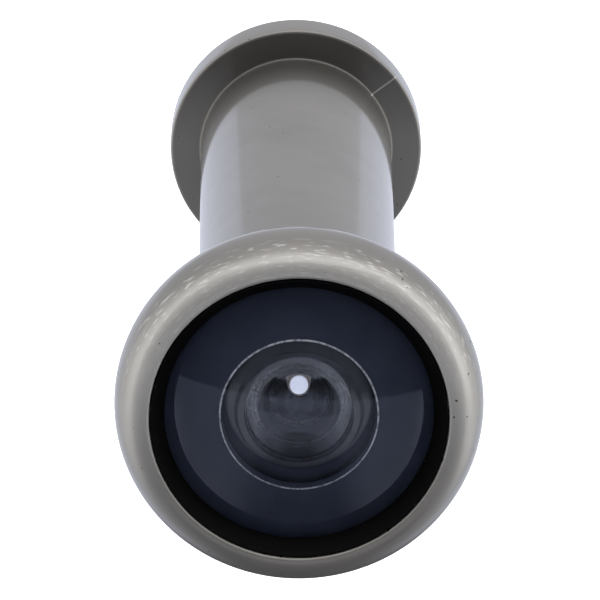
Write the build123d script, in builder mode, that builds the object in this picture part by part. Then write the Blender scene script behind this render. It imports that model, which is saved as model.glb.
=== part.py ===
from build123d import *

import os
from math import copysign, radians, sqrt, tan

# Door viewer that screws together through a hole in a door. Sizes are in millimetres.
# The optical axis is Y: the outside of the door is towards -Y, the room is towards +Y, and
# +Z is up. The origin is on the axis at the back face of the bezel, which sits on the door.

# Door that the viewer is set for, and the thinnest one that it fits
DOOR_THICKNESS = 48.0
THINNEST_DOOR = 36.0

# Bezel, the rounded ring on the outside of the door
BEZEL_DIAMETER = 25.3
BEZEL_DEPTH = 6.0
BEZEL_CROWN_DEPTH = 3.1
BEZEL_SEAT_DIAMETER = 23.0
LIP_DIAMETER = 20.4
LIP_ROUNDING = 0.3

# Threaded stem behind the bezel, cast in one with it
STEM_LENGTH = 31.0
STEM_BORE = 9.0
STEM_COLLAR_LENGTH = 0.8
STEM_END_CHAMFER = 0.5

# Sleeve and inner flange, cast in one
SLEEVE_DIAMETER = 14.0
SLEEVE_WALL = 0.95
SLEEVE_END_GAP = 0.5
SLEEVE_END_CHAMFER = 0.35
FLANGE_DIAMETER = 18.5
FLANGE_THICKNESS = 3.1
FLANGE_FRONT_ROUNDING = 0.25
FLANGE_REAR_ROUNDING = 0.8
ROOT_FILLET = 0.2
COIN_SLOT_WIDTH = 1.7
COIN_SLOT_DEPTH = 1.1

# Screw thread between stem and sleeve, right-handed
PITCH = 1.0
THREAD_DEPTH = 0.6
CREST_WIDTH = 0.125
FLANK_HALF_ANGLE = 30.0
THREAD_RADIAL_GAP = 0.15
THREAD_SIDE_GAP = 0.12
THREAD_ROOT_BITE = 0.04
NUT_LENGTH = 12.0

# Black retaining ring inside the lip
RING_RECESS = 0.1
RING_LAND = 0.1
RING_WIDTH = 1.0
RING_CONE_DEPTH = 1.1
RING_LENGTH = 2.1

# Objective lens. A face radius is positive where its centre lies towards the room.
OBJECTIVE_DIAMETER = 19.4
OBJECTIVE_FRONT_RADIUS = 16.4
OBJECTIVE_REAR_RADIUS = 6.56
OBJECTIVE_THICKNESS = 0.95
OBJECTIVE_REAR_APERTURE = 10.2
LENS_BEVEL = 0.15

# Weather seal behind the objective lens
SEAL_SECTION = 1.0
SEAL_DIAMETER = 18.1

# Black cell that carries the two inner lenses
CELL_BOSS_DIAMETER = 16.6
CELL_FLANGE_THICKNESS = 1.2
CELL_LIP_WIDTH = 0.3
CELL_LIP_THICKNESS = 0.4
CELL_NOSE_CHAMFER = 0.3
CELL_END_MARGIN = 0.3

# Inner lenses, both of one diameter
INNER_LENS_DIAMETER = 8.1
SECOND_LENS_DISTANCE = 3.0
SECOND_FRONT_RADIUS = -9.5
SECOND_REAR_RADIUS = 5.26
SECOND_THICKNESS = 0.8
SECOND_FRONT_RIM = 0.25
SECOND_REAR_RIM = 0.25
SPACER_LENGTH = 0.56
THIRD_FRONT_RADIUS = -5.27
THIRD_REAR_RADIUS = -4.17
THIRD_THICKNESS = 1.61
THIRD_RIM = 0.25
LOCK_RING_LENGTH = 1.0

# Eyepiece in the inner flange
EYEPIECE_DIAMETER = 11.6
EYEPIECE_FRONT_RADIUS = 26.0
EYEPIECE_THICKNESS = 1.6
EYEPIECE_OPENING = 10.0
EYEPIECE_SHOULDER = 0.8
EYEPIECE_SEAL_SECTION = 0.6
EYEPIECE_RING_THICKNESS = 0.9
EYEPIECE_RING_RECESS = 0.1
EYEPIECE_RING_CONE = 0.35
SPANNER_NOTCH = 0.8

# Clearances between pieces that sit in or on each other
RADIAL_FIT = 0.05
AXIAL_FIT = 0.05


def sag(face_radius, radius):
    """Depth of a spherical face, from its vertex, at a radius from the axis."""
    return face_radius - copysign(sqrt(face_radius**2 - radius**2), face_radius)


def face_arc(vertex_y, face_radius, radius):
    """Half of a lens face's section, from the axis out to a radius."""
    return ThreePointArc(
        (0, vertex_y),
        (radius / 2, vertex_y + sag(face_radius, radius / 2)),
        (radius, vertex_y + sag(face_radius, radius)),
    )


# Radii of the thread, from the sleeve's bore inwards
nut_root_radius = SLEEVE_DIAMETER / 2 - SLEEVE_WALL
nut_crest_radius = nut_root_radius - THREAD_DEPTH
stem_crest_radius = nut_root_radius - THREAD_RADIAL_GAP
stem_root_radius = nut_crest_radius - THREAD_RADIAL_GAP
stem_bore_radius = STEM_BORE / 2
stem_collar_radius = stem_crest_radius + RADIAL_FIT

# Places along the axis in the front half, from the lip backwards
lip_y = -BEZEL_DEPTH
ring_front_y = lip_y + RING_RECESS
ring_edge_y = ring_front_y + RING_CONE_DEPTH + RING_LAND
ring_back_y = ring_front_y + RING_LENGTH
ring_outer_radius = LIP_DIAMETER / 2 - RADIAL_FIT
ring_inner_radius = LIP_DIAMETER / 2 - RING_WIDTH
objective_radius = OBJECTIVE_DIAMETER / 2
objective_y = ring_edge_y + AXIAL_FIT - sag(OBJECTIVE_FRONT_RADIUS, ring_inner_radius)
objective_rear_y = objective_y + OBJECTIVE_THICKNESS
objective_rim_y = objective_rear_y + sag(OBJECTIVE_REAR_RADIUS, OBJECTIVE_REAR_APERTURE / 2)
boss_y = objective_rim_y + AXIAL_FIT
cell_flange_y = boss_y + SEAL_SECTION + AXIAL_FIT
cell_back_y = cell_flange_y + CELL_FLANGE_THICKNESS
bezel_floor_y = cell_back_y + AXIAL_FIT

# Places of the inner lenses
inner_radius = INNER_LENS_DIAMETER / 2
cell_bore_radius = inner_radius + RADIAL_FIT
barrel_radius = stem_bore_radius - RADIAL_FIT
second_front_aperture = inner_radius - SECOND_FRONT_RIM
second_rear_aperture = inner_radius - SECOND_REAR_RIM
second_y = objective_rear_y + SECOND_LENS_DISTANCE
second_rear_y = second_y + SECOND_THICKNESS
second_rim_y = second_y + sag(SECOND_FRONT_RADIUS, second_front_aperture)
second_back_rim_y = second_rear_y + sag(SECOND_REAR_RADIUS, second_rear_aperture)
cell_lip_y = second_rim_y - AXIAL_FIT - CELL_LIP_THICKNESS
spacer_y = second_back_rim_y + AXIAL_FIT
third_aperture = inner_radius - THIRD_RIM
third_rim_y = spacer_y + SPACER_LENGTH + AXIAL_FIT
third_y = third_rim_y - sag(THIRD_FRONT_RADIUS, third_aperture)
third_rear_y = third_y + THIRD_THICKNESS
third_back_rim_y = third_rear_y + sag(THIRD_REAR_RADIUS, third_aperture)
lock_ring_y = third_back_rim_y + AXIAL_FIT
barrel_end_y = lock_ring_y + LOCK_RING_LENGTH + CELL_END_MARGIN

# Places of the rear half, which rides on the door's inner face
flange_y = DOOR_THICKNESS
flange_back_y = flange_y + FLANGE_THICKNESS
sleeve_end_y = flange_y - THINNEST_DOOR + SLEEVE_END_GAP
eyepiece_radius = EYEPIECE_DIAMETER / 2
eyepiece_seat_radius = eyepiece_radius + RADIAL_FIT
eyepiece_opening_radius = EYEPIECE_OPENING / 2
eye_ring_back_y = flange_back_y - EYEPIECE_RING_RECESS
eye_ring_y = eye_ring_back_y - EYEPIECE_RING_THICKNESS
eyepiece_rear_y = eye_ring_y - AXIAL_FIT
eyepiece_y = eyepiece_rear_y - EYEPIECE_THICKNESS
eyepiece_rim_y = eyepiece_y + sag(EYEPIECE_FRONT_RADIUS, eyepiece_radius - LENS_BEVEL)
eye_seal_y = eyepiece_rim_y - AXIAL_FIT - EYEPIECE_SEAL_SECTION / 2
shoulder_back_y = eye_seal_y - EYEPIECE_SEAL_SECTION / 2 - AXIAL_FIT
shoulder_front_y = shoulder_back_y - EYEPIECE_SHOULDER

# Widths of the thread's ridges
flank_slope = 2 * tan(radians(FLANK_HALF_ANGLE))
stem_ridge_base = CREST_WIDTH + (stem_crest_radius - stem_root_radius) * flank_slope
stem_width_at_nut = CREST_WIDTH + (stem_crest_radius - nut_crest_radius) * flank_slope
nut_ridge_crest = PITCH - stem_width_at_nut - 2 * THREAD_SIDE_GAP
nut_ridge_base = nut_ridge_crest + THREAD_DEPTH * flank_slope

# Both helices start at the same angle, and half a pitch apart so that the ridges interleave
nut_start_y = sleeve_end_y + PITCH
stem_start_y = STEM_COLLAR_LENGTH + (nut_start_y - PITCH / 2 - STEM_COLLAR_LENGTH) % PITCH


def thread_ridge(base_radius, crest_radius, base_width, crest_width, start_y, end_y):
    """One helical ridge along Y, its base sunk a little into the wall that carries it."""
    bite = copysign(THREAD_ROOT_BITE, base_radius - crest_radius)
    helix = Helix(
        pitch=PITCH,
        height=end_y - start_y,
        radius=base_radius,
        center=(0, start_y, 0),
        direction=(0, 1, 0),
    )
    start = helix @ 0
    outwards = Vector(start.X, 0, start.Z)
    section_plane = Plane(origin=start, x_dir=outwards, z_dir=helix % 0)
    height = crest_radius - base_radius
    with BuildPart() as ridge:
        with BuildLine():
            add(helix)
        with BuildSketch(section_plane):
            with BuildLine():
                Polyline(
                    (bite, -base_width / 2),
                    (bite, base_width / 2),
                    (height, crest_width / 2),
                    (height, -crest_width / 2),
                    close=True,
                )
            make_face()
        sweep(path=helix, is_frenet=True)
    return ridge.part


def turned(outline):
    """A piece turned about the Y axis from a closed outline of (radius, y) corners."""
    with BuildPart() as piece:
        with BuildSketch():
            with BuildLine():
                Polyline(*outline, close=True)
            make_face()
        revolve(axis=Axis.Y)
    return piece.part


def lens(front, rear, edge_radius, front_bevel=0.0):
    """A lens from its front and rear faces, each a (vertex y, face radius, aperture radius)."""
    with BuildPart() as blank:
        with BuildSketch():
            with BuildLine():
                front_face = face_arc(*front)
                rear_face = face_arc(*rear)
                Polyline(
                    front_face @ 1,
                    (edge_radius, (front_face @ 1).Y + front_bevel),
                    (edge_radius, (rear_face @ 1).Y),
                    rear_face @ 1,
                )
                Line(front_face @ 0, rear_face @ 0)
            make_face()
        revolve(axis=Axis.Y)
    return blank.part


def write(part, name):
    """Labels a finished piece and writes its STEP file."""
    part.label = name
    export_step(part, f"parts/{name}.step")


os.makedirs("parts", exist_ok=True)

# Front body: rounded bezel, plain collar and threaded stem. The stem is made too long and then
# faced off.
raw_stem_end = STEM_LENGTH + 3 * PITCH
stem_ridge = thread_ridge(
    stem_root_radius,
    stem_crest_radius,
    stem_ridge_base,
    CREST_WIDTH,
    stem_start_y,
    STEM_LENGTH + PITCH,
)
with BuildPart() as front_body:
    with BuildSketch():
        with BuildLine():
            lip_inner = LIP_DIAMETER / 2
            crown_y = lip_y + BEZEL_CROWN_DEPTH
            lip_arc = CenterArc(
                (lip_inner + LIP_ROUNDING, lip_y + LIP_ROUNDING), LIP_ROUNDING, 180, 90
            )
            front_curve = EllipticalCenterArc(
                (lip_inner + LIP_ROUNDING, crown_y),
                BEZEL_DIAMETER / 2 - lip_inner - LIP_ROUNDING,
                BEZEL_CROWN_DEPTH,
                start_angle=-90,
                arc_size=90,
            )
            back_curve = TangentArc(
                (BEZEL_DIAMETER / 2, crown_y), (BEZEL_SEAT_DIAMETER / 2, 0), tangent=(0, 1)
            )
            Polyline(
                back_curve @ 1,
                (stem_collar_radius, 0),
                (stem_collar_radius, STEM_COLLAR_LENGTH),
                (stem_root_radius, STEM_COLLAR_LENGTH),
                (stem_root_radius, raw_stem_end),
                (stem_bore_radius, raw_stem_end),
                (stem_bore_radius, bezel_floor_y),
                (objective_radius + RADIAL_FIT, bezel_floor_y),
                (objective_radius + RADIAL_FIT, ring_back_y + AXIAL_FIT),
                (lip_inner, ring_back_y + AXIAL_FIT),
                lip_arc @ 0,
            )
        make_face()
    revolve(axis=Axis.Y)
    add(stem_ridge)
    # The end is faced off square, and its edge and the last thread are chamfered
    with BuildSketch():
        with BuildLine():
            Polyline(
                (0, STEM_LENGTH),
                (stem_crest_radius - STEM_END_CHAMFER, STEM_LENGTH),
                (stem_crest_radius + PITCH, STEM_LENGTH - STEM_END_CHAMFER - PITCH),
                (stem_crest_radius + PITCH, raw_stem_end + PITCH),
                (0, raw_stem_end + PITCH),
                close=True,
            )
        make_face()
    revolve(axis=Axis.Y, mode=Mode.SUBTRACT)
write(front_body.part, "front_body")

# Black retaining ring: its cone leads the eye from the lip down to the glass
skirt_radius = objective_radius + RADIAL_FIT
skirt_y = objective_y + sag(OBJECTIVE_FRONT_RADIUS, skirt_radius) - AXIAL_FIT
retaining_ring = turned(
    [
        (ring_outer_radius, ring_front_y),
        (ring_outer_radius - RING_LAND, ring_front_y),
        (ring_inner_radius, ring_edge_y - RING_LAND),
        (ring_inner_radius, ring_edge_y),
        (skirt_radius, skirt_y),
        (skirt_radius, ring_back_y),
        (ring_outer_radius, ring_back_y),
    ]
)
write(retaining_ring, "lens_retaining_ring")

# Objective lens, a negative meniscus
objective_lens = lens(
    (objective_y, OBJECTIVE_FRONT_RADIUS, objective_radius - LENS_BEVEL),
    (objective_rear_y, OBJECTIVE_REAR_RADIUS, OBJECTIVE_REAR_APERTURE / 2),
    objective_radius,
    LENS_BEVEL,
)
write(objective_lens, "objective_lens")

# Weather seal, an O-ring
with BuildPart() as objective_seal:
    with BuildSketch():
        with Locations((SEAL_DIAMETER / 2, boss_y + SEAL_SECTION / 2)):
            Circle(SEAL_SECTION / 2)
    revolve(axis=Axis.Y)
write(objective_seal.part, "objective_seal")

# Lens cell: boss behind the objective, flange in the bezel and barrel in the stem
cell_lip_radius = cell_bore_radius - CELL_LIP_WIDTH
lens_cell = turned(
    [
        (cell_lip_radius, cell_lip_y),
        (barrel_radius - CELL_NOSE_CHAMFER, cell_lip_y),
        (barrel_radius, cell_lip_y + CELL_NOSE_CHAMFER),
        (barrel_radius, boss_y),
        (CELL_BOSS_DIAMETER / 2, boss_y),
        (CELL_BOSS_DIAMETER / 2, cell_flange_y),
        (objective_radius, cell_flange_y),
        (objective_radius, cell_back_y),
        (barrel_radius, cell_back_y),
        (barrel_radius, barrel_end_y),
        (cell_bore_radius, barrel_end_y),
        (cell_bore_radius, second_rim_y - AXIAL_FIT),
        (cell_lip_radius, second_rim_y - AXIAL_FIT),
    ]
)
write(lens_cell, "lens_cell")

# Second lens, biconcave
second_lens = lens(
    (second_y, SECOND_FRONT_RADIUS, second_front_aperture),
    (second_rear_y, SECOND_REAR_RADIUS, second_rear_aperture),
    inner_radius,
)
write(second_lens, "second_lens")

# Spacer between the inner lenses
lens_spacer = turned(
    [
        (third_aperture, spacer_y),
        (inner_radius, spacer_y),
        (inner_radius, spacer_y + SPACER_LENGTH),
        (third_aperture, spacer_y + SPACER_LENGTH),
    ]
)
write(lens_spacer, "lens_spacer")

# Third lens, a positive meniscus
third_lens = lens(
    (third_y, THIRD_FRONT_RADIUS, third_aperture),
    (third_rear_y, THIRD_REAR_RADIUS, third_aperture),
    inner_radius,
)
write(third_lens, "third_lens")

# Lock ring that closes the cell from behind
lock_ring_inner = third_aperture + RADIAL_FIT
cell_lock_ring = turned(
    [
        (lock_ring_inner, lock_ring_y),
        (inner_radius, lock_ring_y),
        (inner_radius, lock_ring_y + LOCK_RING_LENGTH),
        (lock_ring_inner, lock_ring_y + LOCK_RING_LENGTH),
    ]
)
write(cell_lock_ring, "cell_lock_ring")

# Rear body: smooth sleeve with the inner flange, threaded inside its free end
nut_ridge = thread_ridge(
    nut_root_radius,
    nut_crest_radius,
    nut_ridge_base,
    nut_ridge_crest,
    nut_start_y,
    sleeve_end_y + NUT_LENGTH,
)
with BuildPart() as rear_body:
    with BuildSketch():
        with BuildLine():
            sleeve_radius = SLEEVE_DIAMETER / 2
            flange_radius = FLANGE_DIAMETER / 2
            root = CenterArc(
                (sleeve_radius + ROOT_FILLET, flange_y - ROOT_FILLET), ROOT_FILLET, 90, 90
            )
            front_edge = CenterArc(
                (flange_radius - FLANGE_FRONT_ROUNDING, flange_y + FLANGE_FRONT_ROUNDING),
                FLANGE_FRONT_ROUNDING,
                -90,
                90,
            )
            rear_edge = CenterArc(
                (flange_radius - FLANGE_REAR_ROUNDING, flange_back_y - FLANGE_REAR_ROUNDING),
                FLANGE_REAR_ROUNDING,
                0,
                90,
            )
            Line(root @ 0, front_edge @ 0)
            Line(front_edge @ 1, rear_edge @ 0)
            Polyline(
                rear_edge @ 1,
                (eyepiece_seat_radius, flange_back_y),
                (eyepiece_seat_radius, shoulder_back_y),
                (eyepiece_opening_radius, shoulder_back_y),
                (eyepiece_opening_radius, shoulder_front_y),
                (nut_root_radius, shoulder_front_y),
                (nut_root_radius, sleeve_end_y),
                (sleeve_radius - SLEEVE_END_CHAMFER, sleeve_end_y),
                (sleeve_radius, sleeve_end_y + SLEEVE_END_CHAMFER),
                root @ 1,
            )
        make_face()
    revolve(axis=Axis.Y)
    add(nut_ridge)
    # Coin slots across the flange's rear face, on both sides of the eyepiece
    with BuildSketch(Plane.XZ.offset(-flange_back_y)):
        slot_length = flange_radius - eyepiece_seat_radius
        slot_centre = (flange_radius + eyepiece_seat_radius + RADIAL_FIT) / 2
        with Locations((slot_centre, 0), (-slot_centre, 0)):
            Rectangle(slot_length, COIN_SLOT_WIDTH)
    extrude(amount=COIN_SLOT_DEPTH, mode=Mode.SUBTRACT)
write(rear_body.part, "rear_body")

# Eyepiece lens, convex towards the stem and flat towards the eye
with BuildPart() as eyepiece_lens:
    with BuildSketch():
        with BuildLine():
            eye_face = face_arc(eyepiece_y, EYEPIECE_FRONT_RADIUS, eyepiece_radius - LENS_BEVEL)
            Polyline(
                eye_face @ 1,
                (eyepiece_radius, (eye_face @ 1).Y),
                (eyepiece_radius, eyepiece_rear_y),
                (0, eyepiece_rear_y),
                eye_face @ 0,
            )
        make_face()
    revolve(axis=Axis.Y)
write(eyepiece_lens.part, "eyepiece_lens")

# Seal between the shoulder and the eyepiece, an O-ring
with BuildPart() as eyepiece_seal:
    with BuildSketch():
        with Locations((eyepiece_radius - EYEPIECE_SEAL_SECTION / 2, eye_seal_y)):
            Circle(EYEPIECE_SEAL_SECTION / 2)
    revolve(axis=Axis.Y)
write(eyepiece_seal.part, "eyepiece_seal")

# Ring that holds the eyepiece from the room side, with two notches for a pin spanner
with BuildPart() as eyepiece_ring:
    with BuildSketch():
        with BuildLine():
            Polyline(
                (eyepiece_opening_radius, eye_ring_y),
                (eyepiece_radius, eye_ring_y),
                (eyepiece_radius, eye_ring_back_y),
                (eyepiece_opening_radius + EYEPIECE_RING_CONE, eye_ring_back_y),
                (eyepiece_opening_radius, eye_ring_back_y - EYEPIECE_RING_CONE),
                close=True,
            )
        make_face()
    revolve(axis=Axis.Y)
    with BuildSketch(Plane.XZ.offset(-eye_ring_back_y)):
        with Locations((0, eyepiece_radius), (0, -eyepiece_radius)):
            Rectangle(SPANNER_NOTCH, SPANNER_NOTCH)
    extrude(amount=EYEPIECE_RING_CONE, mode=Mode.SUBTRACT)
write(eyepiece_ring.part, "eyepiece_ring")
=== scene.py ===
"""Dresses the door viewer for its photograph: turned castings, ground lenses and a light tent."""

import logging
import math
from collections.abc import Callable
from dataclasses import dataclass, field
from enum import Enum
from functools import reduce

import bmesh
import bpy
from mathutils import Matrix, Vector


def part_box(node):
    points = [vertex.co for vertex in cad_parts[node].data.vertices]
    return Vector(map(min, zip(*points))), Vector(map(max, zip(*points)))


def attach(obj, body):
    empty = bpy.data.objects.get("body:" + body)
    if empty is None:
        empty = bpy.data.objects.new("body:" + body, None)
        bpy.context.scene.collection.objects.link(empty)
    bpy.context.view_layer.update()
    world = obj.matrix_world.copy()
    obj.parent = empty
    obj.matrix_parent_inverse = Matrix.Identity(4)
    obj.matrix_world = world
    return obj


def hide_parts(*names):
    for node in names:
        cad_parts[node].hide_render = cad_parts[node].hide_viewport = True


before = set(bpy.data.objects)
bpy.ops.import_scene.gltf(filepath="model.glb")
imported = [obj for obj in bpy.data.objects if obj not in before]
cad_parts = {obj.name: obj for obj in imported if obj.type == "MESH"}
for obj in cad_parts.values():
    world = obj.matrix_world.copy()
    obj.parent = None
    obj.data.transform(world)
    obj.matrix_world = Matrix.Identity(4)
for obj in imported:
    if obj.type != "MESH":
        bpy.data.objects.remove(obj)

log = logging.getLogger("door_viewer")

MM = 0.001
AXIS = Vector((0.0, 1.0, 0.0))
FULL_TURN = 2.0 * math.pi
SEGMENTS = 160
FINE_SEGMENTS = 224
FIT = 0.05
MERGE = 1e-4
QUARTER = 90.0
WALL_TILT = 0.5

Colour = tuple[float, float, float, float]
Tree = bpy.types.NodeTree
Node = bpy.types.Node
Socket = bpy.types.NodeSocket
Input = float | Colour | Vector | Socket
Pair = tuple[float, float]
Plain = tuple[tuple[str, float | Colour], ...]


class Slot(Enum):
    """Material slots of the record, by what they are on this viewer."""

    CASTING = "satin_nickel_casting"
    BLACK_RING = "black_ring"
    GLASS = "lens_glass"
    RUBBER = "seal_rubber"
    SILICONE = "seal_silicone"
    BRIGHT_RING = "bright_ring"
    CELL = "black_cell"
    BRASS = "brass_ring"


class Body(Enum):
    """Bodies of the frame that a piece can ride on."""

    FRONT = "front_half"
    REAR = "rear_half"
    EYEPIECE = "eyepiece_group"


@dataclass(frozen=True)
class Recipe:
    """What a node is, which of its sockets are used, and its settings."""

    kind: str
    inputs: tuple[int | str, ...]
    output: int | str
    settings: tuple[tuple[str, str], ...] = ()


def working(kind: str, operation: str, output: int | str = 0) -> Recipe:
    """Recipe of a node that puts one or two values through an operation."""
    return Recipe(kind, (0, 1), output, (("operation", operation),))


class Step(Enum):
    """The steps that a finish and the light are worked out in, one node each."""

    PLACE = Recipe("ShaderNodeTexCoord", (), "Object")
    DIRECTION = Recipe("ShaderNodeTexCoord", (), "Generated")
    X = Recipe("ShaderNodeSeparateXYZ", (0,), "X")
    Y = Recipe("ShaderNodeSeparateXYZ", (0,), "Y")
    Z = Recipe("ShaderNodeSeparateXYZ", (0,), "Z")
    JOIN = Recipe("ShaderNodeCombineXYZ", (0, 1), 0)
    STRETCH = working("ShaderNodeVectorMath", "MULTIPLY", "Vector")
    LENGTH = working("ShaderNodeVectorMath", "LENGTH", "Value")
    ALIGN = working("ShaderNodeVectorMath", "DOT_PRODUCT", "Value")
    PLUS = working("ShaderNodeMath", "ADD")
    MINUS = working("ShaderNodeMath", "SUBTRACT")
    TIMES = working("ShaderNodeMath", "MULTIPLY")
    HIGHER = working("ShaderNodeMath", "MAXIMUM")
    UNSIGNED = working("ShaderNodeMath", "ABSOLUTE")
    SINE = working("ShaderNodeMath", "SINE")
    ANGLE = working("ShaderNodeMath", "ARCTAN2")
    FADE = Recipe("ShaderNodeMapRange", (0, 1, 2, 3, 4), 0, (("interpolation_type", "SMOOTHSTEP"),))
    BLEND = Recipe("ShaderNodeMix", (0, 6, 7), 2, (("data_type", "RGBA"),))
    NOISE = Recipe("ShaderNodeTexNoise", ("Vector", "Scale", "Detail"), "Fac")
    BUMP = Recipe("ShaderNodeBump", ("Strength", "Distance", "Height"), 0)
    SHINE = Recipe("ShaderNodeBackground", ("Color", "Strength"), 0)


def linear(hex_colour: str) -> Colour:
    """Turns an sRGB hex colour into linear light.

    Args:
        hex_colour: Six hex digits, with or without a leading hash.

    Returns:
        Red, green, blue and an alpha of 1.
    """
    digits = hex_colour.lstrip("#")
    parts = [int(digits[i : i + 2], 16) / 255.0 for i in (0, 2, 4)]
    light = [c / 12.92 if c <= 0.04045 else ((c + 0.055) / 1.055) ** 2.4 for c in parts]
    return (*light, 1.0)


def feed(tree: Tree, socket: Socket, value: Input) -> None:
    """Links an output socket to an input, or sets the input to a plain value.

    Args:
        tree: The node tree.
        socket: The input.
        value: Output socket, number, colour or vector.
    """
    if isinstance(value, bpy.types.NodeSocket):
        tree.links.new(value, socket)
    else:
        socket.default_value = value


def add(tree: Tree, step: Step, *inputs: Input) -> Socket:
    """Adds a node with its settings, and sets or links its inputs.

    Args:
        tree: The node tree that gets the node.
        step: What the node is. FADE takes a value, two values of it, and what these two give;
            BLEND takes the second colour's share and two colours.
        *inputs: Values or output sockets, in the order of the recipe's inputs.

    Returns:
        The output socket.
    """
    recipe = step.value
    node = tree.nodes.new(recipe.kind)
    for name, setting in recipe.settings:
        setattr(node, name, setting)
    for name, value in zip(recipe.inputs, inputs):
        feed(tree, node.inputs[name], value)
    return node.outputs[recipe.output]


def overlap(tree: Tree, *masks: Socket) -> Socket:
    """Mask of what lies in all of some masks."""
    return reduce(lambda first, second: add(tree, Step.TIMES, first, second), masks)


@dataclass(frozen=True)
class Finish:
    """A finish: one material, made once and shared by the pieces that wear it."""

    name: str

    def material(self) -> bpy.types.Material:
        """Makes the material on its first use, and finds it later on.

        Returns:
            The material.
        """
        found = bpy.data.materials.get(self.name)
        if found is not None:
            return found
        made = bpy.data.materials.new(self.name)
        made.use_nodes = True
        tree = made.node_tree
        tree.nodes.clear()
        shader = tree.nodes.new("ShaderNodeBsdfPrincipled")
        output = tree.nodes.new("ShaderNodeOutputMaterial")
        tree.links.new(shader.outputs["BSDF"], output.inputs["Surface"])
        self.dress(tree, shader)
        return made

    def dress(self, tree: Tree, shader: Node) -> None:
        """Sets the shader up. Each finish has its own."""
        raise NotImplementedError

    def wear(self, tree: Tree, shader: Node, **inputs: Input) -> None:
        """Feeds the shader's inputs, with _ for a space in a name."""
        for name, value in inputs.items():
            feed(tree, shader.inputs[name.replace("_", " ")], value)

    def grain(self, tree: Tree, size_mm: float, detail: float = 2.0) -> Socket:
        """Noise of about 0.5, with blobs as wide as a real size and octaves of finer detail."""
        return add(tree, Step.NOISE, add(tree, Step.PLACE), 1.0 / (size_mm * MM), detail)

    def radius(self, tree: Tree) -> Socket:
        """Distance from the optical axis in millimetres."""
        flat = add(tree, Step.STRETCH, add(tree, Step.PLACE), (1.0 / MM, 0.0, 1.0 / MM))
        return add(tree, Step.LENGTH, flat)

    def along(self, tree: Tree) -> Socket:
        """Place along the optical axis in millimetres."""
        return add(tree, Step.TIMES, add(tree, Step.Y, add(tree, Step.PLACE)), 1.0 / MM)

    def height(self, tree: Tree) -> Socket:
        """Height over the optical axis in millimetres."""
        return add(tree, Step.TIMES, add(tree, Step.Z, add(tree, Step.PLACE)), 1.0 / MM)

    def turn(self, tree: Tree) -> Socket:
        """Angle about the optical axis from straight up, in radians."""
        place = add(tree, Step.PLACE)
        return add(tree, Step.ANGLE, add(tree, Step.X, place), add(tree, Step.Z, place))


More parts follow.
